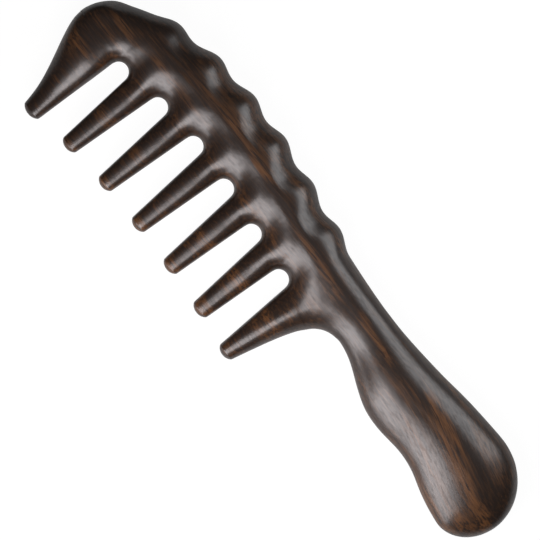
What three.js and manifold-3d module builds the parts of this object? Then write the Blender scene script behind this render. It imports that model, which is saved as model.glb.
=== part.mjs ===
// Wooden wide-tooth comb: a spine with a lobed back, seven pegged-in teeth and a tenoned handle.
// Millimetres. X runs from the nose of the head to the end of the handle, the teeth point along -Y,
// Z is the thickness of the wood, and the comb lies on Z = 0 with its box centred on X and Y.
import * as THREE from 'three';
import { mergeVertices } from 'three/addons/utils/BufferGeometryUtils.js';
import Module from 'manifold-3d';

// Thickness of the wood
const PLANK_THICKNESS = 16;
const NECK_THICKNESS = 12;
const TOOTH_ROOT_THICKNESS = 10;
const TOOTH_TIP_THICKNESS = 5.4;
const LAND_WIDTH = 2;

// Gullets, the round roots of the gaps between the teeth
const FIRST_GULLET_X = -74.6;
const TOOTH_PITCH = 15.05;
const GULLET_TOPS = [3.9, 6.2, 7.1, 6.2, 4.2, 2.1];
const GULLET_RADIUS = 3;

// Teeth, each measured down from the line of the gullets
const TOOTH_LENGTHS = [30.7, 29.6, 30.2, 30.2, 29.2, 28.3, 29.1];
const TOOTH_TIP_WIDTH = 5.6;
const FIRST_TIP_WIDTH = 6.2;
const TIP_ROUND = 1.9;
const TOOTH_FULLNESS = 2.6;
const END_SIDE_FLARE = 0.9;

// Spine and its lobed back
const SPINE_DEPTHS = [19.2, 20, 19.9, 20.1, 20.1, 19.9];
const LOBE_HEIGHT = 1.75;
const LOBE_DIP = 1.1;
const CREST_RISE = 9.3;
const FLUTE_DEPTH = 0.4;
const FLUTE_LEAN = 0.85;

// Nose of the head
const NOSE_X = -95;
const NOSE_Y = 3.6;
const NOSE_TOP = 10.9;
const NOSE_RADIUS = 5.1;
const NOSE_ROLL = 10;
const BROW_POINTS = [[8, 4.8], [13.5, 8]];
const NOSE_SIDE_PULL = 6.9;
const NOSE_TIP_PULL = [1.7, 11.2];

// Throat between the last tooth and the handle, and the neck where the handle joins the head
const THROAT_REACH = 25.4;
const NECK_LOW_Y = 1.5;
const THROAT_TIP_PULL = [4.6, 19];
const THROAT_NECK_PULL = 9.6;
const THROAT_SHOULDER_Y = -4.2;
const SHOULDER_DIP_REACH = 10.2;
const SHOULDER_DIP_Y = 18.9;
const NECK_HIGH_Y = 17.6;

// Handle, measured from the neck
const HANDLE_LENGTH = 69;
const HANDLE_END_Y = 3.4;
const WAIST = [7.5, 17.4];
const GRIP_BACK_POINTS = [[25, 18.4], [36.2, 19.6]];
const BULB_BACK = [50.5, 20.3];
const GRIP_FRONT_POINTS = [[7.5, -0.5], [13, -2.9], [19, -5], [25, -5.6], [36, -5], [42, -5.9], [48, -7.8]];
const BULB_FRONT = [58, -9.6];
const BULB_SWELL = [3.5, 20.5];
const HANDLE_END_ROLL = 12;

// Joints: round pegs on the teeth, a rounded tenon on the handle, and the glue line round them
const PEG_DIAMETER = 5;
const PEG_LENGTH = 9;
const PEG_ROOT = 3;
const PEG_CHAMFER = 0.6;
const TENON_LENGTH = 13;
const TENON_ROOT = 4;
const TENON_WIDTH = 8;
const TENON_THICKNESS = 5.6;
const GLUE_LINE = 0.2;
const SOCKET_END_ROOM = 0.5;

// Facets
const TOOTH_STRIPS = 8;
const END_TOOTH_STRIPS = 10;
const TOOTH_LEVELS = 8;
const TIP_LEVELS = 4;
const GULLET_STEPS = 8;
const FLANK_ROWS = 6;
const THROAT_STEPS = 7;
const HANDLE_STEPS = 15;
const HANDLE_END_STEPS = 9;
const EDGE_SAMPLES = 80;
const PEG_SIDES = 16;
const MERGE_TOLERANCE = 1e-4;

const { clamp, lerp, smoothstep } = THREE.MathUtils;
const wasm = await Module();
wasm.setup();

const sideFlare = (TOOTH_PITCH - TOOTH_TIP_WIDTH) / 2 - GULLET_RADIUS;
const gullets = GULLET_TOPS.map((top, index) => ({
  x: FIRST_GULLET_X + index * TOOTH_PITCH,
  top,
  centreY: top - GULLET_RADIUS,
  spineDepth: SPINE_DEPTHS[index],
  leftFlare: index === 0 ? END_SIDE_FLARE : sideFlare,
  rightFlare: index === GULLET_TOPS.length - 1 ? END_SIDE_FLARE : sideFlare,
}));
const firstGullet = gullets[0];
const lastGullet = gullets[gullets.length - 1];
const neckX = lastGullet.x + THROAT_REACH;
const handleEndX = neckX + HANDLE_LENGTH;

// Smooth line y(x) through points, level at both ends when asked
function lineThrough(points, ending = THREE.ZeroCurvatureEnding) {
  const xs = points.map((point) => point[0]);
  const ys = points.map((point) => point[1]);
  const line = new THREE.CubicInterpolant(xs, ys, 1);
  line.settings = { endingStart: ending, endingEnd: ending };
  return (x) => line.evaluate(x)[0];
}

// Share of the full thickness at a distance in from a rolled edge: a quarter ellipse, or fuller with a
// higher power, then level
function roll(distance, radius, power = 2) {
  const share = clamp(distance / radius, 0, 1);
  return (1 - (1 - share) ** power) ** (1 / power);
}

// Steps from 0 to 1, close together at both ends
function easedSteps(count) {
  return Array.from({ length: count + 1 }, (_, i) => (1 - Math.cos((Math.PI * i) / count)) / 2);
}

// Sides of the teeth: how far a gap reaches to one side (-1 left, 1 right), flaring below its gullet
const meanToothLength = TOOTH_LENGTHS.reduce((sum, length) => sum + length, 0) / TOOTH_LENGTHS.length;
const gapDepth = meanToothLength - GULLET_RADIUS - TIP_ROUND;
function gapReach(gullet, direction, y) {
  const flare = direction < 0 ? gullet.leftFlare : gullet.rightFlare;
  return GULLET_RADIUS + (flare * (gullet.centreY - y)) / gapDepth;
}

// Distance from a point to the edge of one gap: round the gullet above its centre, sideways below it
function gapDistance(gullet, x, y) {
  if (y >= gullet.centreY) return Math.hypot(x - gullet.x, y - gullet.centreY) - GULLET_RADIUS;
  return Math.abs(x - gullet.x) - gapReach(gullet, Math.sign(x - gullet.x), y);
}

// One side of a tooth, from the shoulder (0) to the round tip (1)
function gapSide(gullet, direction, capY) {
  return (t) => {
    const y = lerp(gullet.centreY, capY, t);
    return new THREE.Vector2(gullet.x + direction * gapReach(gullet, direction, y), y);
  };
}

// Height of each tooth's round tip, from the gullets beside it
const capHeights = TOOTH_LENGTHS.map((length, index) => {
  const left = gullets[Math.max(index - 1, 0)];
  const right = gullets[Math.min(index, gullets.length - 1)];
  return (left.top + right.top) / 2 - length + TIP_ROUND;
});
const firstCapY = capHeights[0];
const lastCapY = capHeights[capHeights.length - 1];

// Outer side of the first tooth, from the nose down to the tip
const firstTipCorner = gapSide(firstGullet, -1, firstCapY)(1);
const noseTip = new THREE.Vector2(firstTipCorner.x - FIRST_TIP_WIDTH, firstCapY);
const noseSide = new THREE.CubicBezierCurve(
  new THREE.Vector2(NOSE_X, NOSE_Y),
  new THREE.Vector2(NOSE_X, NOSE_Y - NOSE_SIDE_PULL),
  new THREE.Vector2(noseTip.x - NOSE_TIP_PULL[0], noseTip.y + NOSE_TIP_PULL[1]),
  noseTip,
);

// Outer side of the last tooth, up through the throat to the neck
const lastTipCorner = gapSide(lastGullet, 1, lastCapY)(1);
const throatTip = new THREE.Vector2(lastTipCorner.x + TOOTH_TIP_WIDTH, lastCapY);
const throat = new THREE.CubicBezierCurve(
  throatTip,
  new THREE.Vector2(throatTip.x + THROAT_TIP_PULL[0], throatTip.y + THROAT_TIP_PULL[1]),
  new THREE.Vector2(neckX - THROAT_NECK_PULL, NECK_LOW_Y),
  new THREE.Vector2(neckX, NECK_LOW_Y),
);
const noseSamples = noseSide.getPoints(EDGE_SAMPLES);
const throatSamples = throat.getPoints(EDGE_SAMPLES);
const throatShoulder = throatSamples.findIndex((point) => point.y > THROAT_SHOULDER_Y) / EDGE_SAMPLES;

// Distance from a point to a sampled edge
function edgeDistance(samples, x, y) {
  const point = new THREE.Vector3(x, y, 0);
  const segment = new THREE.Line3();
  const nearest = new THREE.Vector3();
  let least = Infinity;
  for (let i = 1; i < samples.length; i += 1) {
    segment.start.set(samples[i - 1].x, samples[i - 1].y, 0);
    segment.end.set(samples[i].x, samples[i].y, 0);
    segment.closestPointToPoint(point, true, nearest);
    least = Math.min(least, nearest.distanceTo(point));
  }
  return least;
}

// Back edge: a spine of even depth along the gullets with one lobe over each gap, then the handle's back
const crown = lineThrough([
  [NOSE_X, NOSE_TOP],
  ...BROW_POINTS.map(([x, y]) => [NOSE_X + x, NOSE_TOP + y]),
  ...gullets.map((gullet) => [gullet.x, gullet.top + gullet.spineDepth - LOBE_HEIGHT]),
  [lastGullet.x + SHOULDER_DIP_REACH, SHOULDER_DIP_Y],
  [neckX, NECK_HIGH_Y],
  [neckX + WAIST[0], WAIST[1]],
]);
const handleBack = lineThrough([
  [neckX, NECK_HIGH_Y],
  [neckX + WAIST[0], WAIST[1]],
  ...GRIP_BACK_POINTS.map(([x, y]) => [neckX + x, y]),
  [neckX + BULB_BACK[0], BULB_BACK[1]],
], THREE.ZeroSlopeEnding);
const handleFront = lineThrough([
  [neckX, NECK_LOW_Y],
  ...GRIP_FRONT_POINTS.map(([x, y]) => [neckX + x, y]),
  [neckX + BULB_FRONT[0], BULB_FRONT[1]],
], THREE.ZeroSlopeEnding);

function lobe(x) {
  const turns = (x - firstGullet.x) / TOOTH_PITCH;
  if (turns < -0.5 || turns > gullets.length - 0.5) return 0;
  return (LOBE_HEIGHT * (1 + Math.cos(2 * Math.PI * turns))) / 2;
}

// Depth of the dips in the back flank between one lobe and the next
function lobeDip(x) {
  const turns = (x - firstGullet.x) / TOOTH_PITCH;
  if (turns < 0 || turns > gullets.length - 1) return 0;
  return (LOBE_DIP * (1 - Math.cos(2 * Math.PI * turns))) / 2;
}

function backEdge(x) {
  const round = roll(x - NOSE_X, NOSE_RADIUS);
  return lerp(NOSE_Y, crown(x) + lobe(x), round);
}

// Back and front edges of the handle, closed by a quarter ellipse from the fullest point of the bulb
function handleEdge(x, line, bulbReach) {
  const endRadius = HANDLE_LENGTH - bulbReach;
  return lerp(HANDLE_END_Y, line(x), roll(handleEndX - x, endRadius));
}

// Crest of the head, halfway up the spine, and half the thickness of the wood along the comb
const neckMidY = (NECK_LOW_Y + NECK_HIGH_Y) / 2;
const crest = lineThrough([
  [NOSE_X, NOSE_Y],
  ...gullets.map((gullet) => [gullet.x, gullet.top + CREST_RISE]),
  [neckX, neckMidY],
]);
const slimStartX = lastTipCorner.x;
const halfPlank = PLANK_THICKNESS / 2;
const halfNeck = NECK_THICKNESS / 2;
function crestHalf(x) {
  if (x <= neckX) return lerp(halfPlank, halfNeck, smoothstep(x, slimStartX, neckX));
  const swell = smoothstep(x, neckX + BULB_SWELL[0], neckX + BULB_SWELL[1]);
  return lerp(halfNeck, halfPlank, swell) * roll(handleEndX - x, HANDLE_END_ROLL);
}

function landHalf(x) {
  return (LAND_WIDTH / 2) * roll(x - NOSE_X, NOSE_ROLL);
}

// Thinning from the land on the crest to the roots of the teeth and on to their tips, which fades out
// towards the neck
const gulletRoll = CREST_RISE - LAND_WIDTH / 2;
const rootDepth = gulletRoll + GULLET_RADIUS;
const tipDepth = gulletRoll + meanToothLength;
const toothRootWidth = TOOTH_PITCH - 2 * GULLET_RADIUS;
const rootShare = thicknessShare(TOOTH_ROOT_THICKNESS, toothRootWidth);
const tipShare = thicknessShare(TOOTH_TIP_THICKNESS, TOOTH_TIP_WIDTH);
function thicknessShare(thickness, width) {
  return thickness / PLANK_THICKNESS / roll(width / 2, gulletRoll) ** 2;
}

function slimming(x, depth) {
  const fade = 1 - smoothstep(x, slimStartX, neckX);
  const flank = (1 - rootShare) * smoothstep(depth, 0, rootDepth);
  const taper = (rootShare - tipShare) * smoothstep(depth, rootDepth, tipDepth);
  return 1 - (flank + taper) * fade;
}

// Depth of the soft flute above each gullet, from the land on the crest down to the gullet
function fluteDepth(x, depth) {
  const turns = (x - firstGullet.x) / TOOTH_PITCH;
  if (turns < -0.5 || turns > gullets.length - 0.5) return 0;
  const across = (1 + Math.cos(2 * Math.PI * turns)) / 2;
  const along = clamp(depth / gulletRoll, 0, 1) ** FLUTE_LEAN;
  return FLUTE_DEPTH * across * Math.sin(Math.PI * along) ** 2;
}

// Roll to the edge of a gap: elliptic round the gullet, and down the teeth fuller towards the gap, with
// the middle of each tooth as thick as before
function gapRoll(gullet, x, y) {
  const distance = Math.max(gapDistance(gullet, x, y), Number.EPSILON);
  const sideY = Math.min(y, gullet.centreY);
  const middle = TOOTH_PITCH / 2 - gapReach(gullet, Math.sign(x - gullet.x), sideY);
  const power = lerp(TOOTH_FULLNESS, 2, smoothstep(y, gullet.centreY - gulletRoll, gullet.top));
  const fullness = roll(distance, middle, power) / roll(distance, middle);
  return roll(distance, gulletRoll) * fullness;
}

// Half thickness of the wood on the tooth side of the crest, rolled off to every edge
const throatRoll = neckMidY - LAND_WIDTH / 2 - NECK_LOW_Y;
function frontHalf(x, y) {
  const depth = crest(x) - landHalf(x) - y;
  let half = crestHalf(x) * slimming(x, depth) - fluteDepth(x, depth);
  const noseDistance = y > NOSE_Y ? x - NOSE_X : edgeDistance(noseSamples, x, y);
  half *= roll(noseDistance, NOSE_ROLL);
  half *= roll(edgeDistance(throatSamples, x, y), throatRoll);
  for (const gullet of gullets) half *= gapRoll(gullet, x, y);
  return half;
}

// Closed body over a grid of points with a half thickness each, X rising with i and Y with j
function plankBody(grid) {
  const corners = [];
  const last = grid.length - 1;
  const top = grid[0].length - 1;
  const at = (i, j, side) => [grid[i][j].x, grid[i][j].y, side * grid[i][j].half];
  const quad = (a, b, c, d) => corners.push(a, b, c, a, c, d);
  for (let i = 0; i < last; i += 1) {
    for (let j = 0; j < top; j += 1) {
      quad(at(i, j, 1), at(i + 1, j, 1), at(i + 1, j + 1, 1), at(i, j + 1, 1));
      quad(at(i, j, -1), at(i, j + 1, -1), at(i + 1, j + 1, -1), at(i + 1, j, -1));
    }
    quad(at(i, 0, -1), at(i + 1, 0, -1), at(i + 1, 0, 1), at(i, 0, 1));
    quad(at(i + 1, top, -1), at(i, top, -1), at(i, top, 1), at(i + 1, top, 1));
  }
  for (let j = 0; j < top; j += 1) {
    quad(at(0, j + 1, -1), at(0, j, -1), at(0, j, 1), at(0, j + 1, 1));
    quad(at(last, j, -1), at(last, j + 1, -1), at(last, j + 1, 1), at(last, j, 1));
  }
  const geometry = new THREE.BufferGeometry();
  geometry.setAttribute('position', new THREE.Float32BufferAttribute(corners.flat(), 3));
  return solidFrom(geometry);
}

// Solid for cutting and joining, from any closed geometry
function solidFrom(geometry) {
  const bare = geometry.clone();
  bare.deleteAttribute('normal');
  bare.deleteAttribute('uv');
  const merged = mergeVertices(bare, MERGE_TOLERANCE);
  const index = merged.index.array;
  const triangles = [];
  for (let i = 0; i < index.length; i += 3) {
    const [a, b, c] = [index[i], index[i + 1], index[i + 2]];
    if (a !== b && b !== c && c !== a) triangles.push(a, b, c);
  }
  return new wasm.Manifold(new wasm.Mesh({
    numProp: 3,
    vertProperties: new Float32Array(merged.attributes.position.array),
    triVerts: new Uint32Array(triangles),
  }));
}

function meshFrom(solid, name, material) {
  const { vertProperties, triVerts, numProp } = solid.getMesh();
  const geometry = new THREE.BufferGeometry();
  const positions = new THREE.InterleavedBuffer(vertProperties, numProp);
  geometry.setAttribute('position', new THREE.InterleavedBufferAttribute(positions, 3, 0));
  geometry.setIndex(new THREE.BufferAttribute(triVerts, 1));
  const mesh = new THREE.Mesh(geometry, material);
  mesh.name = name;
  return mesh;
}

// Teeth: two sides, a shoulder line between their upper ends and a round tip between the lower ones
const teeth = TOOTH_LENGTHS.map((_, index) => {
  const isFirst = index === 0;
  const isLast = index === gullets.length;
  const capY = capHeights[index];
  const throatToShoulder = (t) => throat.getPoint(lerp(throatShoulder, 0, t));
  const left = isFirst ? (t) => noseSide.getPoint(t) : gapSide(gullets[index - 1], 1, capY);
  const right = isLast ? throatToShoulder : gapSide(gullets[index], -1, capY);
  const pegX = (left(1).x + right(1).x) / 2;
  const shoulderShare = (pegX - left(0).x) / (right(0).x - left(0).x);
  const pegY = lerp(left(0).y, right(0).y, shoulderShare);
  const strips = isFirst || isLast ? END_TOOTH_STRIPS : TOOTH_STRIPS;
  return { name: `tooth_${index + 1}`, left, right, pegX, pegY, strips };
});

// Section line of a tooth from its left side to its right, with the wood's half thickness along it
function toothSection(tooth, t) {
  const left = tooth.left(t);
  const right = tooth.right(t);
  return easedSteps(tooth.strips).map((share, i) => {
    const x = lerp(left.x, right.x, share);
    const y = lerp(left.y, right.y, share);
    const onSide = i === 0 || i === tooth.strips;
    return { x, y, half: onSide ? 0 : frontHalf(x, y) };
  });
}

function toothGrid(tooth) {
  const cap = toothSection(tooth, 1);
  const middle = new THREE.Vector2().addVectors(tooth.left(1), tooth.right(1)).multiplyScalar(0.5);
  const sections = [];
  for (let level = TIP_LEVELS; level > 0; level -= 1) {
    const angle = (Math.PI / 2) * (level / TIP_LEVELS);
    const share = level === TIP_LEVELS ? 0 : Math.cos(angle);
    const drop = TIP_ROUND * Math.sin(angle);
    sections.push(cap.map(({ x, y, half }) => ({
      x: lerp(middle.x, x, share),
      y: lerp(middle.y, y, share) - drop,
      half: half * share,
    })));
  }
  for (let level = TOOTH_LEVELS; level >= 0; level -= 1) {
    const section = toothSection(tooth, level / TOOTH_LEVELS);
    const gap = level === 0 ? GLUE_LINE : 0;
    sections.push(section.map(({ x, y, half }) => ({ x, y: y - gap, half })));
  }
  return cap.map((_, i) => sections.map((section) => section[i]));
}

// Round peg with a chamfered end, standing on a tooth along Y; with room round it, it cuts the socket
function pegSolid(tooth, room, endRoom) {
  const radius = PEG_DIAMETER / 2 + room;
  const length = PEG_ROOT + PEG_LENGTH + endRoom;
  const profile = [
    new THREE.Vector2(0, 0),
    new THREE.Vector2(radius, 0),
    new THREE.Vector2(radius, length - PEG_CHAMFER),
    new THREE.Vector2(radius - PEG_CHAMFER, length),
    new THREE.Vector2(0, length),
  ];
  const peg = new THREE.LatheGeometry(profile, PEG_SIDES);
  peg.translate(tooth.pegX, tooth.pegY - PEG_ROOT, 0);
  return solidFrom(peg);
}

// Tenon with rounded edges along X, from inside the handle into the head; with room, the mortise
function tenonSolid(room, endRoom) {
  const round = TENON_THICKNESS / 2 + room;
  const straight = (TENON_WIDTH - TENON_THICKNESS) / 2;
  const outline = new THREE.Shape();
  outline.absarc(0, straight, round, 0, Math.PI);
  outline.absarc(0, -straight, round, Math.PI, 2 * Math.PI);
  const depth = TENON_ROOT + TENON_LENGTH + endRoom;
  const curveSegments = PEG_SIDES / 2;
  const tenon = new THREE.ExtrudeGeometry(outline, { depth, bevelEnabled: false, curveSegments });
  tenon.rotateY(-Math.PI / 2);
  tenon.translate(neckX + TENON_ROOT, neckMidY, 0);
  return solidFrom(tenon);
}

// Column of the head or handle: the front flank from its low end up to the crest at one X, then the
// flat land on the crest and the back flank
function column(low, isEdge, x, crestY, land, high, frontAt) {
  const half = crestHalf(x) * roll(x - NOSE_X, NOSE_ROLL);
  const points = [];
  for (let row = 0; row <= FLANK_ROWS; row += 1) {
    const share = 1 - Math.cos((Math.PI / 2) * (row / FLANK_ROWS));
    const flankX = lerp(low.x, x, share);
    const flankY = lerp(low.y, crestY - land, share);
    points.push({ x: flankX, y: flankY, half: row === 0 && isEdge ? 0 : frontAt(flankX, flankY) });
  }
  for (let row = 0; row <= FLANK_ROWS; row += 1) {
    const angle = (Math.PI / 2) * (row / FLANK_ROWS);
    const y = lerp(crestY + land, high, Math.sin(angle));
    const dip = lobeDip(x) * Math.sin(2 * angle);
    points.push({ x, y, half: row === FLANK_ROWS ? 0 : half * Math.cos(angle) - dip });
  }
  return points;
}

function headColumn(low, crestX, isEdge) {
  return column(low, isEdge, crestX, crest(crestX), landHalf(crestX), backEdge(crestX), frontHalf);
}

// Head: columns along the shoulders and gullets in turn, evenly spread along the crest, then along the
// throat to the neck
function headGrid() {
  const columns = [];
  teeth.forEach((tooth, index) => {
    const shares = easedSteps(tooth.strips);
    const left = tooth.left(0);
    const right = tooth.right(0);
    shares.forEach((share, i) => {
      const even = i / tooth.strips;
      const crestShare = index === 0 ? 1 - Math.cos((Math.PI / 2) * even) : even;
      const crestX = lerp(left.x, right.x, crestShare);
      columns.push(headColumn(left.clone().lerp(right, share), crestX, i === 0 || i === tooth.strips));
    });
    if (index === gullets.length) return;
    const gullet = gullets[index];
    for (let step = 1; step < GULLET_STEPS; step += 1) {
      const angle = Math.PI * (1 - step / GULLET_STEPS);
      const x = gullet.x + GULLET_RADIUS * Math.cos(angle);
      const y = gullet.centreY + GULLET_RADIUS * Math.sin(angle);
      const crestX = gullet.x + GULLET_RADIUS * ((2 * step) / GULLET_STEPS - 1);
      columns.push(headColumn(new THREE.Vector2(x, y), crestX, true));
    }
  });
  for (let step = 1; step <= THROAT_STEPS; step += 1) {
    const point = throat.getPoint(lerp(throatShoulder, 1, step / THROAT_STEPS));
    columns.push(headColumn(point, point.x, true));
  }
  return columns;
}

// Handle: columns from the glue line at the neck to the round end
function handleColumn(x) {
  const low = handleEdge(x, handleFront, BULB_FRONT[0]);
  const high = handleEdge(x, handleBack, BULB_BACK[0]);
  const crestY = (low + high) / 2;
  const land = (LAND_WIDTH / 2) * roll(handleEndX - x, HANDLE_END_ROLL);
  const frontAt = (_, y) => {
    const share = (crestY - land - y) / Math.max(crestY - land - low, Number.EPSILON);
    return crestHalf(x) * Math.sqrt(Math.max(1 - share ** 2, 0));
  };
  return column(new THREE.Vector2(x, low), true, x, crestY, land, high, frontAt);
}

function handleGrid() {
  const startX = neckX + GLUE_LINE;
  const roundX = handleEndX - HANDLE_END_ROLL;
  const columns = [];
  for (let step = 0; step < HANDLE_STEPS; step += 1) {
    columns.push(handleColumn(lerp(startX, roundX, step / HANDLE_STEPS)));
  }
  for (let step = 0; step <= HANDLE_END_STEPS; step += 1) {
    const share = Math.sin((Math.PI / 2) * (step / HANDLE_END_STEPS));
    columns.push(handleColumn(lerp(roundX, handleEndX, share)));
  }
  return columns;
}

// Finish: dark close-grained wood, oiled to a satin polish
function darkWood() {
  return new THREE.MeshStandardMaterial({ color: 0x2e221c, roughness: 0.4, metalness: 0 });
}

const comb = new THREE.Group();

let headSolid = plankBody(headGrid());
for (const tooth of teeth) headSolid = headSolid.subtract(pegSolid(tooth, GLUE_LINE, SOCKET_END_ROOM));
headSolid = headSolid.subtract(tenonSolid(GLUE_LINE, SOCKET_END_ROOM));
comb.add(meshFrom(headSolid, 'head', darkWood()));

for (const tooth of teeth) {
  const toothSolid = plankBody(toothGrid(tooth)).add(pegSolid(tooth, 0, 0));
  comb.add(meshFrom(toothSolid, tooth.name, darkWood()));
}

const handleSolid = plankBody(handleGrid()).add(tenonSolid(0, 0));
comb.add(meshFrom(handleSolid, 'handle', darkWood()));

// The comb lies on its flat lands, with the middle of its box over the origin
const box = new THREE.Box3().setFromObject(comb);
const middle = box.getCenter(new THREE.Vector3());
comb.position.set(-middle.x, -middle.y, -box.min.z);
comb.updateMatrixWorld(true);

export default comb;
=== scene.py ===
# Wooden wide-tooth comb, lying on a white table and seen from straight above.
# The sections follow the making: skin, finish, teeth, handle and head, then table, light and camera.
import math

import bpy
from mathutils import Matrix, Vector


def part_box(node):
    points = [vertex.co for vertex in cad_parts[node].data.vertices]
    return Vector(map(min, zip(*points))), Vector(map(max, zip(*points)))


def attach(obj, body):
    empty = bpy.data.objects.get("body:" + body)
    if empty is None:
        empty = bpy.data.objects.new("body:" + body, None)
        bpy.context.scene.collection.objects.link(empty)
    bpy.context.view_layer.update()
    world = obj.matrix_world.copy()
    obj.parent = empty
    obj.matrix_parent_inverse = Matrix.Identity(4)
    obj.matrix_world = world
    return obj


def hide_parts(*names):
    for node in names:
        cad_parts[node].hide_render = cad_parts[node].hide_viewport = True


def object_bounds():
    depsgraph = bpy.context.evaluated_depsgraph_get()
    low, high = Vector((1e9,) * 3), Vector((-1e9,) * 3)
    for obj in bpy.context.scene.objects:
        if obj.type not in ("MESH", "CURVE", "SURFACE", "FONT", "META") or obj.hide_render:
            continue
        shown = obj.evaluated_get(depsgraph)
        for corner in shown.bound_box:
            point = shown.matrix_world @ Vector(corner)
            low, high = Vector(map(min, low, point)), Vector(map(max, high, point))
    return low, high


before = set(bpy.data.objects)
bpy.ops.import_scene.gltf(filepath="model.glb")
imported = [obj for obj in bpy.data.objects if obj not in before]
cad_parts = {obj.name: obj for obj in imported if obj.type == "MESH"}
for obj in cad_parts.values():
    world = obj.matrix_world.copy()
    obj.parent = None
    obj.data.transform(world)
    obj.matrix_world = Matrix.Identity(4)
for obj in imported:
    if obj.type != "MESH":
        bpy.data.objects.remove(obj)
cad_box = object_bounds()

# Skin of the glued-up comb: head, teeth and handle are glued together and then sanded over as one piece.
# The outer faces of the frame's pieces are joined across the glue lines, smoothed together and parted
# again at the glue lines, so that the sanded surface runs on across every joint.
PIECE_NAMES = sorted(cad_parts)
SEEN_TILT = 0.03
RAY_START = 1e-5
RAY_LENGTH = 0.05
SAME_CORNER = 1e-6
GLUE_REACH = 0.00032
QUAD_FOLD = math.radians(60)
QUAD_SKEW = math.radians(80)
SANDING_LEVELS = 2
FITTING_ROUNDS = 2
MIDDLE_HEIGHT = (cad_box[0][2] + cad_box[1][2]) / 2


def outer_faces(node):
    """One flag a face of a node: whether it is open to view from above or below the comb."""
    depsgraph = bpy.context.evaluated_depsgraph_get()
    flags = []
    for face in node.data.polygons:
        upright = face.normal.z
        start = face.center + face.normal * RAY_START
        way = Vector((0, 0, math.copysign(1, upright)))
        blocked = bpy.context.scene.ray_cast(depsgraph, start, way, distance=RAY_LENGTH)[0]
        flags.append(abs(upright) > SEEN_TILT and not blocked)
    return flags


def pick(*pieces):
    """Selects these pieces and nothing else, the first one active."""
    bpy.ops.object.select_all(action="DESELECT")
    for piece in pieces:
        piece.select_set(True)
    bpy.context.view_layer.objects.active = pieces[0]


def outer_shell(name, flags):
    """A copy of a node's outer faces, marked with the piece's name by its material."""
    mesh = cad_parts[name].data.copy()
    mesh.materials.clear()
    mark = bpy.data.materials.new("mark")
    mark["piece"] = name
    mesh.materials.append(mark)
    for face, is_outer in zip(mesh.polygons, flags):
        face.select = not is_outer
        face.material_index = 0
    shell = bpy.data.objects.new(name + "_shell", mesh)
    bpy.context.collection.objects.link(shell)
    pick(shell)
    bpy.context.tool_settings.mesh_select_mode = (False, False, True)
    bpy.ops.object.mode_set(mode="EDIT")
    bpy.ops.mesh.delete(type="FACE")
    bpy.ops.object.mode_set(mode="OBJECT")
    return shell


# Rounding of the bulb's end: its length in the frame and after sanding, and how full sanding leaves it.
SAWN_END = 0.012
SANDED_END = 0.026
SANDED_FULLNESS = 3.0


def bulb_rounding(distance):
    """How much sanding changes the bulb's thickness at a distance from its end."""
    if not SAME_CORNER < distance < SANDED_END:
        return 1
    sawn = (1 - max(1 - distance / SAWN_END, 0) ** 2) ** 0.5
    sanded = (1 - (1 - distance / SANDED_END) ** SANDED_FULLNESS) ** (1 / SANDED_FULLNESS)
    return sanded / sawn


# Places where the wood is left fuller: the nose with the first tooth's root, and in part the crowns over
# the gullets, which follow an arc. Each pair is where the change begins and where it is full.
NOSE_FULLNESS = 2.0
FIRST_ROOT_FULLNESS = 2.4
FIRST_ROOT = (0.005, 0.000)
NOSE_EDGE = (-0.069, -0.077)
NOSE_LOW = (-0.016, -0.003)
NOSE_HIGH = (0.013, 0.009)
CROWN_SHARE = 0.38
CROWN_END = (0.014, 0.004)
CROWN_LOW = (-0.0079, 0.0018)
CROWN_HIGH = (0.0106, 0.0066)
GULLET_ARC_TOP = (-0.0445, 0.0071)
GULLET_ARC_FALL = 3.56
GULLET_ARC_DEPTH = 0.005


def ease(value, start, end):
    """Goes smoothly from 0 at the start to 1 at the end."""
    share = min(max((value - start) / (end - start), 0), 1)
    return share * share * (3 - 2 * share)


def fuller_rounding(x, y, rise):
    """How much fuller sanding leaves a place that stands so far off the middle of the wood."""
    level = min(abs(rise) / MIDDLE_HEIGHT, 1)
    if level < SAME_CORNER:
        return 1
    fullness = NOSE_FULLNESS + (FIRST_ROOT_FULLNESS - NOSE_FULLNESS) * ease(y, *FIRST_ROOT)
    fuller = 1 - (1 - level) ** fullness
    nose = ease(x, *NOSE_EDGE)
    crown = CROWN_SHARE * (1 - nose) * ease(x, *CROWN_END)
    fall = min(GULLET_ARC_FALL * (x - GULLET_ARC_TOP[0]) ** 2, GULLET_ARC_DEPTH)
    above = y - GULLET_ARC_TOP[1] + fall
    share = nose * ease(y, *NOSE_LOW) * ease(y, *NOSE_HIGH)
    share += crown * ease(above, *CROWN_LOW) * ease(above, *CROWN_HIGH)
    return 1 + share * (fuller / level - 1)


outer = {name: outer_faces(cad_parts[name]) for name in PIECE_NAMES}
shells = [outer_shell(name, outer[name]) for name in PIECE_NAMES]
pick(*shells)
bpy.ops.object.join()
skin = bpy.context.active_object
bpy.ops.object.mode_set(mode="EDIT")
bpy.ops.mesh.select_mode(type="VERT")
bpy.ops.mesh.select_all(action="SELECT")
bpy.ops.mesh.remove_doubles(threshold=SAME_CORNER)
bpy.ops.mesh.select_all(action="DESELECT")
bpy.ops.mesh.select_non_manifold()
bpy.ops.mesh.remove_doubles(threshold=GLUE_REACH)
bpy.ops.mesh.select_mode(type="EDGE")
bpy.ops.mesh.select_all(action="DESELECT")
bpy.ops.mesh.select_non_manifold()
bpy.ops.mesh.fill_holes(sides=0)
bpy.ops.object.mode_set(mode="OBJECT")

# Each face that closes a glue line goes to the piece beside it.
old_faces = [face for face in skin.data.polygons if not face.select]
piece_beside = {key: face.material_index for face in old_faces for key in face.edge_keys}
for face in skin.data.polygons:
    if face.select:
        face.material_index = next(piece_beside[key] for key in face.edge_keys if key in piece_beside)

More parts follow.
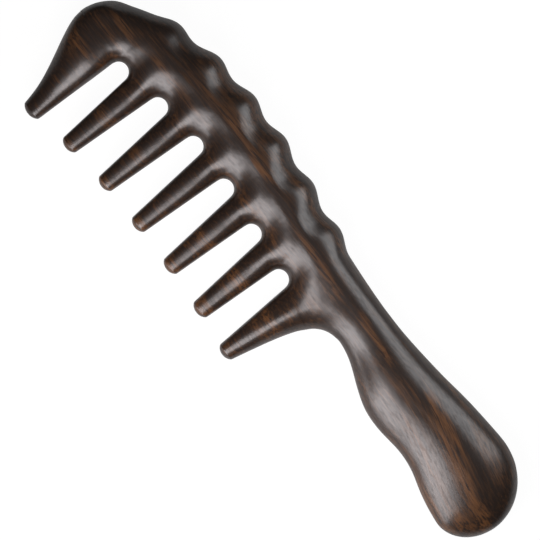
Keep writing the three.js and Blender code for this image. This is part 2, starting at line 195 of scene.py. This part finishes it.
# The corners are rounded, and the smoothed surface is led back through them.
bpy.ops.object.mode_set(mode="EDIT")
bpy.ops.mesh.select_all(action="SELECT")
bpy.ops.mesh.tris_convert_to_quads(
    face_threshold=QUAD_FOLD, shape_threshold=QUAD_SKEW, topology_influence=1)
bpy.ops.object.mode_set(mode="OBJECT")
for vertex in skin.data.vertices:
    rise = vertex.co.z - MIDDLE_HEIGHT
    rise *= fuller_rounding(vertex.co.x, vertex.co.y, rise) * bulb_rounding(cad_box[1][0] - vertex.co.x)
    vertex.co.z = MIDDLE_HEIGHT + rise
bpy.ops.object.modifier_add(type="SUBSURF")
sanding = skin.modifiers[-1]
sanding.levels = SANDING_LEVELS
sanding.render_levels = SANDING_LEVELS
corners = [vertex.co.copy() for vertex in skin.data.vertices]
for _ in range(FITTING_ROUNDS):
    smoothed = skin.evaluated_get(bpy.context.evaluated_depsgraph_get()).data
    shrinkage = [corner - vertex.co for corner, vertex in zip(corners, smoothed.vertices)]
    for vertex, step in zip(skin.data.vertices, shrinkage):
        vertex.co += step
bpy.ops.object.modifier_apply(modifier=sanding.name)

# The crown over the first gullet is rubbed once more, with soft borders.
RUB_LEFT = (-0.085, -0.080)
RUB_RIGHT = (-0.069, -0.0745)
RUB_LOW = (0.0035, 0.006)
RUB_HIGH = (0.015, 0.011)
RUB_STROKES = 90
first_crown = skin.vertex_groups.new(name="first_crown")
for vertex in skin.data.vertices:
    rub = ease(vertex.co.x, *RUB_LEFT) * ease(vertex.co.x, *RUB_RIGHT)
    rub *= ease(vertex.co.y, *RUB_LOW) * ease(vertex.co.y, *RUB_HIGH)
    if rub > 0:
        first_crown.add([vertex.index], rub, "REPLACE")
bpy.ops.object.modifier_add(type="SMOOTH")
rubbing = skin.modifiers[-1]
rubbing.vertex_group = first_crown.name
rubbing.iterations = RUB_STROKES
bpy.ops.object.modifier_apply(modifier=rubbing.name)
skin.vertex_groups.clear()

# Nothing stands past the frame's box, and the pieces are parted at the glue lines.
for vertex in skin.data.vertices:
    vertex.co = [min(max(value, low), high) for value, low, high in zip(vertex.co, *cad_box)]
bpy.ops.object.mode_set(mode="EDIT")
bpy.ops.mesh.select_all(action="SELECT")
bpy.ops.mesh.separate(type="MATERIAL")
bpy.ops.object.mode_set(mode="OBJECT")
parted = {}
for piece in {skin, *bpy.context.selected_objects}:
    mark = piece.data.materials[piece.data.polygons[0].material_index]
    parted[mark["piece"]] = piece


# Finish of the wood: a dense, almost black hardwood with brown figure and fine pores along its length,
# sanded and oiled to a satin polish. The grain runs on through all the pieces.
class Link:
    """A socket of a material, so that sums on it read as plain maths."""

    def __init__(self, socket):
        self.socket = socket

    def node(self, kind, settings, sockets, output=0):
        """Adds a node to the same material and returns one of its outputs."""
        node = self.socket.id_data.nodes.new(kind)
        for name, value in settings.items():
            setattr(node, name, value)
        for key, value in sockets.items():
            if isinstance(value, Link):
                node.id_data.links.new(value.socket, node.inputs[key])
            else:
                node.inputs[key].default_value = value
        return Link(node.outputs[output])

    def maths(self, operation, first, second):
        return self.node("ShaderNodeMath", {"operation": operation}, {0: first, 1: second})

    def __add__(self, other):
        return self.maths("ADD", self, other)

    def __radd__(self, other):
        return self.maths("ADD", other, self)

    def __sub__(self, other):
        return self.maths("SUBTRACT", self, other)

    def __rsub__(self, other):
        return self.maths("SUBTRACT", other, self)

    def __mul__(self, other):
        return self.maths("MULTIPLY", self, other)

    def __rmul__(self, other):
        return self.maths("MULTIPLY", other, self)


# Brown streaks of the plank, each with its two ends, its width and its strength.
BROWN_STREAKS = [
    ((-0.094, 0.0105), (-0.071, 0.0100), 0.0045, 0.9),
    ((-0.080, 0.0112), (-0.036, 0.0105), 0.0050, 0.4),
    ((-0.047, 0.0172), (-0.019, 0.0141), 0.0026, 0.9),
    ((-0.015, 0.0123), (0.023, 0.0088), 0.0042, 0.7),
    ((0.019, 0.0113), (0.043, 0.0086), 0.0042, 0.7),
    ((0.049, 0.0124), (0.073, 0.0092), 0.0044, 1.0),
    ((0.060, 0.0073), (0.088, 0.0026), 0.0056, 1.0),
    ((0.050, 0.0122), (0.089, 0.0028), 0.0090, 0.5),
    ((0.080, 0.0000), (0.097, -0.0015), 0.0140, 0.5),
    ((0.066, -0.0056), (0.091, -0.0094), 0.0036, 0.6),
    ((-0.096, -0.0040), (-0.079, -0.0055), 0.0090, 0.4),
    ((-0.086, -0.0108), (-0.040, -0.0100), 0.0056, 0.6),
    ((-0.046, -0.0100), (0.022, -0.0098), 0.0056, 0.8),
    ((-0.094, -0.0232), (0.024, -0.0228), 0.0070, 0.8),
]
STREAK_EDGE = (1.0, 0.3)
STREAK_FRAY = 0.0045
BULB_BEND = 0.009
BULB_BEND_REACH = (0.045, 0.095)
BLACK_WOOD = (0.018, 0.0095, 0.0062, 1)
BROWN_WOOD = (0.122, 0.049, 0.015, 1)
LIGHT_FIBRE = (0.180, 0.086, 0.038, 1)

# Grains of the wood, each with its marks a metre along and across and its fineness.
GRAIN_TURN = math.radians(3)
GRAIN_BREAKUP = 0.6
FRAY_GRAIN = (14, 300, 2)
CLOUD_GRAIN = (11, 230, 3)
LINE_GRAIN = (60, 1000, 3)
FIBRE_GRAIN = (140, 1700, 3)
INK_GRAIN = (110, 1500, 2)
PORE_GRAIN = (400, 1700, 2)

# Levels of a grain at which its marks begin and are full.
GRAIN_MIDDLE = 0.5
CLOUD_LEVELS = (0.42, 0.68)
LINE_LEVELS = (0.40, 0.62)
FIBRE_LEVELS = (0.40, 0.66)
INK_LEVELS = (0.52, 0.62)
PORE_LEVELS = (0.48, 0.62)

# Strengths of the marks in the colour, and the polish with its loss over fibres and pores.
CLOUD_STRENGTH = 0.6
LINE_SHARE = 0.6
FIBRE_STRENGTH = 0.5
FIBRE_IN_FIGURE = 0.7
INK_STRENGTH = 0.9
OILED_ROUGHNESS = 0.30
DRY_ROUGHNESS = 0.08
COAT_ROUGHNESS = 0.27
PORE_LOSS = 0.45
FIBRE_RELIEF = 0.06
FIBRE_HEIGHT = 0.0002


def dark_wood():
    """The comb's one finish, on object coordinates in metres with the grain along X."""
    wood = bpy.data.materials.new("dark_wood")
    wood.use_nodes = True
    polish = wood.node_tree.nodes["Principled BSDF"]
    place = Link(wood.node_tree.nodes.new("ShaderNodeTexCoord").outputs["Object"])

    def grain(along, across, fineness):
        lined = place.node(
            "ShaderNodeMapping", {},
            {"Vector": bent, "Rotation": (0, 0, GRAIN_TURN), "Scale": (along, across, across)})
        return place.node(
            "ShaderNodeTexNoise", {},
            {"Vector": lined, "Scale": 1.0, "Detail": fineness, "Roughness": GRAIN_BREAKUP})

    def between(value, low, high):
        return place.node(
            "ShaderNodeMapRange", {"interpolation_type": "SMOOTHSTEP"},
            {"Value": value, "From Min": low, "From Max": high})

    def blend(share, first, second):
        return place.node(
            "ShaderNodeMix", {"data_type": "RGBA"}, {0: share, 6: first, 7: second}, output=2)

    length_on = place.node("ShaderNodeSeparateXYZ", {}, {"Vector": place})
    bend = place.node("ShaderNodeCombineXYZ", {}, {"Y": BULB_BEND * between(length_on, *BULB_BEND_REACH)})
    bent = place.node("ShaderNodeVectorMath", {"operation": "ADD"}, {0: place, 1: bend})
    fray = place.node("ShaderNodeCombineXYZ", {}, {"Y": STREAK_FRAY * (grain(*FRAY_GRAIN) - GRAIN_MIDDLE)})
    frayed = place.node("ShaderNodeVectorMath", {"operation": "ADD"}, {0: place, 1: fray})

    def streak(start, end, width, strength):
        middle = ((start[0] + end[0]) / 2, (start[1] + end[1]) / 2, 0)
        turn = math.atan2(end[1] - start[1], end[0] - start[0])
        half = (math.dist(start, end) / 2, width / 2, 1)
        lined = place.node(
            "ShaderNodeMapping", {"vector_type": "TEXTURE"},
            {"Vector": frayed, "Location": middle, "Rotation": (0, 0, turn), "Scale": half})
        reach = place.node("ShaderNodeVectorMath", {"operation": "LENGTH"}, {0: lined}, output="Value")
        return strength * between(reach, *STREAK_EDGE)

    cloud = CLOUD_STRENGTH * between(grain(*CLOUD_GRAIN), *CLOUD_LEVELS)
    figure = between(sum((streak(*row) for row in BROWN_STREAKS), cloud), 0.0, 1.0)
    lines = between(grain(*LINE_GRAIN), *LINE_LEVELS)
    fibres = between(grain(*FIBRE_GRAIN), *FIBRE_LEVELS)
    ink = between(grain(*INK_GRAIN), *INK_LEVELS)
    pores = between(grain(*PORE_GRAIN), *PORE_LEVELS)
    brown = figure * (1 - LINE_SHARE + LINE_SHARE * lines)
    light = FIBRE_STRENGTH * fibres * (1 - FIBRE_IN_FIGURE + FIBRE_IN_FIGURE * figure)
    body = blend(brown, BLACK_WOOD, BROWN_WOOD)
    body = blend(light, body, LIGHT_FIBRE)
    body = blend(INK_STRENGTH * ink, body, BLACK_WOOD)
    sheen = OILED_ROUGHNESS + DRY_ROUGHNESS * (1 - fibres)
    polished = 1 - PORE_LOSS * pores
    hollows = place.node(
        "ShaderNodeBump", {}, {"Strength": FIBRE_RELIEF, "Distance": FIBRE_HEIGHT, "Height": fibres})
    tree = wood.node_tree
    tree.links.new(body.socket, polish.inputs["Base Color"])
    tree.links.new(sheen.socket, polish.inputs["Roughness"])
    tree.links.new(polished.socket, polish.inputs["Coat Weight"])
    tree.links.new(hollows.socket, polish.inputs["Normal"])
    polish.inputs["Coat Roughness"].default_value = COAT_ROUGHNESS
    return wood


finish = dark_wood()

# Teeth: seven tapered teeth of dark wood with round tips. Each has a round peg with a chamfered end,
# which is glued into a socket under its stub on the head.
ALONG = 0
ACROSS = 1
QUARTER_TURN = math.pi / 2
PIN_SIDES = 32
PEG_RADIUS = 0.0025
PEG_LENGTH = 0.012
PEG_CHAMFER = 0.0006
GLUE_RIM = 0.0004
GLUE_DEPTH = 0.0001
CRISP_EDGE = math.radians(50)
TOOTH_NAMES = [name for name in PIECE_NAMES if name.startswith("tooth")]


def glue_closed(name):
    """A parted piece with its glue faces closed, set back behind the rim by half of the glue line."""
    piece = parted[name]
    piece.name = name + "_wood"
    piece.data.name = piece.name
    pick(piece)
    bpy.ops.object.mode_set(mode="EDIT")
    bpy.ops.mesh.select_mode(type="EDGE")
    bpy.ops.mesh.select_all(action="DESELECT")
    bpy.ops.mesh.select_non_manifold()
    bpy.ops.mesh.fill_holes(sides=0)
    bpy.ops.mesh.mark_sharp()
    bpy.ops.mesh.select_mode(type="FACE")
    bpy.ops.mesh.inset(thickness=GLUE_RIM, depth=-GLUE_DEPTH, use_even_offset=False)
    bpy.ops.object.mode_set(mode="OBJECT")
    return piece


def middle_of_end(name, axis, reach):
    """Middle of the end of a piece's peg or tenon, which reaches so far along one axis."""
    corners = [corner.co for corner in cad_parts[name].data.vertices]
    ends = [corner for corner in corners if abs(corner[axis] - reach) < SAME_CORNER]
    lowest = [min(end[way] for end in ends) for way in range(3)]
    highest = [max(end[way] for end in ends) for way in range(3)]
    return (Vector(lowest) + Vector(highest)) / 2


def peg(name, room=0, end_room=0):
    """The peg of a tooth, or with room round it the bit that bores its socket."""
    length = PEG_LENGTH + end_room
    end = middle_of_end(name, ACROSS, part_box(name)[1][ACROSS]) + Vector((0, end_room, 0))
    bpy.ops.object.select_all(action="DESELECT")
    bpy.ops.mesh.primitive_cylinder_add(
        vertices=PIN_SIDES, radius=PEG_RADIUS + room, depth=length,
        location=end - Vector((0, length / 2, 0)), rotation=(QUARTER_TURN, 0, 0))
    bpy.ops.object.transform_apply(location=True, rotation=True, scale=True)
    pin = bpy.context.active_object
    bpy.ops.object.mode_set(mode="EDIT")
    bpy.ops.mesh.select_mode(type="EDGE")
    bpy.ops.mesh.select_all(action="DESELECT")
    bpy.ops.object.mode_set(mode="OBJECT")
    for edge in pin.data.edges:
        heights = [pin.data.vertices[corner].co.y for corner in edge.vertices]
        edge.select = min(heights) > end.y - SAME_CORNER
    bpy.ops.object.mode_set(mode="EDIT")
    bpy.ops.mesh.bevel(offset=PEG_CHAMFER, segments=1, affect="EDGES")
    bpy.ops.object.mode_set(mode="OBJECT")
    return pin


def fit(piece, pin, operation):
    """Joins a pin to a piece, or bores a piece with it, and clears the pin away."""
    pick(piece)
    bpy.ops.object.modifier_add(type="BOOLEAN")
    joint = piece.modifiers[-1]
    joint.operation = operation
    joint.solver = "EXACT"
    joint.object = pin
    bpy.ops.object.modifier_apply(modifier=joint.name)
    bpy.data.objects.remove(pin)


def polish_piece(piece, name):
    """Gives a finished piece its wood and its place on the comb."""
    pick(piece)
    bpy.ops.object.shade_smooth_by_angle(angle=CRISP_EDGE)
    piece.data.materials.clear()
    piece.data.materials.append(finish)
    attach(piece, "root")
    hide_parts(name)


for name in TOOTH_NAMES:
    tooth = glue_closed(name)
    fit(tooth, peg(name), "UNION")
    polish_piece(tooth, name)

# Handle: the grip with its bulb, carved from the same wood. A tenon with rounded edges stands out of its
# neck end and is glued into the mortise of the head.
TENON_RADIUS = 0.0028
TENON_HALF_STRAIGHT = 0.0012
TENON_LENGTH = 0.017


def tenon(room=0, end_room=0):
    """The tenon of the handle, or with room round it the bit that cuts its mortise."""
    length = TENON_LENGTH + end_room
    end = middle_of_end("handle", ALONG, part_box("handle")[0][ALONG]) - Vector((end_room, 0, 0))
    middle = end + Vector((length / 2, 0, 0))
    bpy.ops.object.select_all(action="DESELECT")
    bpy.ops.mesh.primitive_cylinder_add(
        vertices=PIN_SIDES, radius=TENON_RADIUS + room, depth=length,
        location=middle, rotation=(0, QUARTER_TURN, 0))
    bpy.ops.object.transform_apply(location=True, rotation=True, scale=True)
    pin = bpy.context.active_object
    bpy.ops.object.mode_set(mode="EDIT")
    bpy.ops.mesh.select_all(action="SELECT")
    bpy.ops.transform.rotate(value=math.pi / PIN_SIDES, orient_axis="X", center_override=middle)
    bpy.ops.object.mode_set(mode="OBJECT")
    for corner in pin.data.vertices:
        corner.co.y += math.copysign(TENON_HALF_STRAIGHT, corner.co.y - middle.y)
    return pin


handle = glue_closed("handle")
fit(handle, tenon(), "UNION")
polish_piece(handle, "handle")

# Head: the spine with its lobed back, the gullets and the stubs of the teeth, carved from the same wood.
# It is bored under each stub for a peg and cut at the neck for the tenon, with room for the glue.
GLUE_ROOM = 0.0002
SOCKET_END_ROOM = 0.0005
head = glue_closed("head")
bits = [peg(name, GLUE_ROOM, SOCKET_END_ROOM) for name in TOOTH_NAMES]
bits.append(tenon(GLUE_ROOM, SOCKET_END_ROOM))
pick(*bits)
bpy.ops.object.join()
fit(head, bits[0], "DIFFERENCE")
polish_piece(head, "head")

# Table: a plain sheet of white paper under the comb, so pale that it reads as the picture's white ground.
# It keeps a faint part of the comb's own shadow.
TABLE_SIZE = 4
TABLE_HEIGHT = -0.00002
TABLE_GREY = (0.42, 0.42, 0.42, 1)
TABLE_WHITE = (1, 1, 1, 1)
TABLE_GLOW = 1.2
SHADOW_SHARE = 0.2
GLOSS_SHARE = 0.1
bpy.ops.mesh.primitive_plane_add(size=TABLE_SIZE, location=(0, 0, TABLE_HEIGHT))
table = bpy.context.active_object
table.name = "table"
paper = bpy.data.materials.new("white_paper")
paper.use_nodes = True
paper_tree = paper.node_tree
paper_tree.nodes.clear()
rays = Link(paper_tree.nodes.new("ShaderNodeLightPath").outputs["Is Camera Ray"])
glossy = Link(rays.socket.node.outputs["Is Glossy Ray"])
matt = rays.node("ShaderNodeBsdfDiffuse", {}, {"Color": TABLE_GREY})
white = rays.node("ShaderNodeEmission", {}, {"Color": TABLE_WHITE, "Strength": TABLE_GLOW})
seen = (1 - SHADOW_SHARE) * rays + GLOSS_SHARE * glossy
mixed = rays.node("ShaderNodeMixShader", {}, {0: seen, 1: matt, 2: white})
sheet_end = paper_tree.nodes.new("ShaderNodeOutputMaterial")
paper_tree.links.new(mixed.socket, sheet_end.inputs["Surface"])
table.data.materials.append(paper)

# Light: a warm softbox close by on the tooth side with a low white card under it, a dimmer softbox behind
# the back, all nearer to the handle than to the nose, and a little grey all round.
LIT_POINT = Vector((0.02, 0.006, 0.008))
WARM_WHITE = (1.0, 0.945, 0.955)
COOL_WHITE = (0.98, 0.98, 1.0)
ROOM_WHITE = (1, 1, 1, 1)
ROOM_GLOW = 0.05


def softbox(name, place, width, height, glow, colour):
    """An area lamp aimed at the comb, with its brightness given as the white that it shows."""
    way = Vector(place) - LIT_POINT
    lamp = bpy.data.lights.new(name, "AREA")
    lamp.shape = "RECTANGLE"
    lamp.size = width
    lamp.size_y = height
    lamp.energy = glow * math.pi * width * height
    lamp.color = colour
    holder = bpy.data.objects.new(name, lamp)
    holder.location = place
    holder.rotation_euler = way.to_track_quat("Z", "Y").to_euler()
    holder.visible_camera = False
    bpy.context.collection.objects.link(holder)


softbox(
    "tooth_side_softbox", place=(0.036, -0.130, 0.168), width=0.13, height=0.215, glow=5.0, colour=WARM_WHITE)
softbox("low_card", place=(0.03, -0.237, 0.068), width=0.22, height=0.093, glow=2.8, colour=WARM_WHITE)
softbox("back_softbox", place=(0.04, 0.15, 0.115), width=0.16, height=0.12, glow=2.4, colour=COOL_WHITE)
world = bpy.data.worlds.new("studio")
bpy.context.scene.world = world
world.use_nodes = True
room_light = world.node_tree.nodes["Background"]
room_light.inputs["Color"].default_value = ROOM_WHITE
room_light.inputs["Strength"].default_value = ROOM_GLOW

# Camera: a long lens straight above the comb, turned so that the nose is at the upper left.
# The picture's width is given at the middle of the wood.
CAMERA_HEIGHT = 1.0
SENSOR_WIDTH = 36
FRAME_WIDTH = 0.155
AIM = (-0.00306, -0.00104)
TURN = math.radians(51)
lens = bpy.data.cameras.new("camera")
lens.sensor_width = SENSOR_WIDTH
lens.lens = SENSOR_WIDTH * (CAMERA_HEIGHT - MIDDLE_HEIGHT) / FRAME_WIDTH
camera = bpy.data.objects.new("camera", lens)
camera.location = (AIM[0], AIM[1], CAMERA_HEIGHT)
camera.rotation_euler = (0, 0, TURN)
bpy.context.collection.objects.link(camera)
bpy.context.scene.camera = camera
bpy.context.scene.view_settings.view_transform = "Standard"
